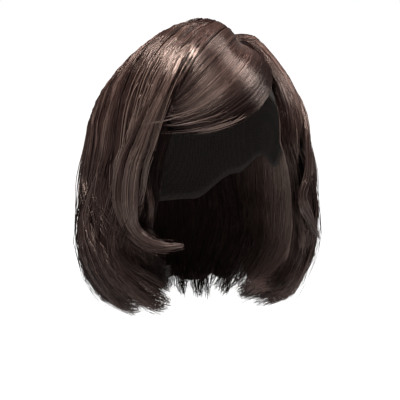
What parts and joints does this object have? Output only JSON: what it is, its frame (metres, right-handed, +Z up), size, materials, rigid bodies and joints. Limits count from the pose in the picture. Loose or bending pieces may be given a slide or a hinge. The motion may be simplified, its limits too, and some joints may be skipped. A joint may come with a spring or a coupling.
{
  "type": "wig",
  "caption": "Wavy brown bob wig with a side parting, a fringe swept across the forehead and a lock framing the cheek, on an open net cap worn on the head.",
  "frame": {"origin": "where the top of the wearer's head meets the inside of the cap", "axes": "+Z up the head, -Y the way the face looks, +X towards the wearer's left"},
  "size_m": [0.2233, 0.2277, 0.2767],
  "materials": {
    "hair": "glossy synthetic fibre, dark chocolate brown",
    "net": "matt stretch net",
    "scalp": "matt skin-coloured base"
  },
  "bodies": {
    "root": {"cap": "net", "parting_strip": "scalp", "side_right": "hair", "back": "hair", "side_left": "hair", "fringe": "hair", "front_lock_right": "hair", "flick_left": "hair"}
  },
  "joints": []
}
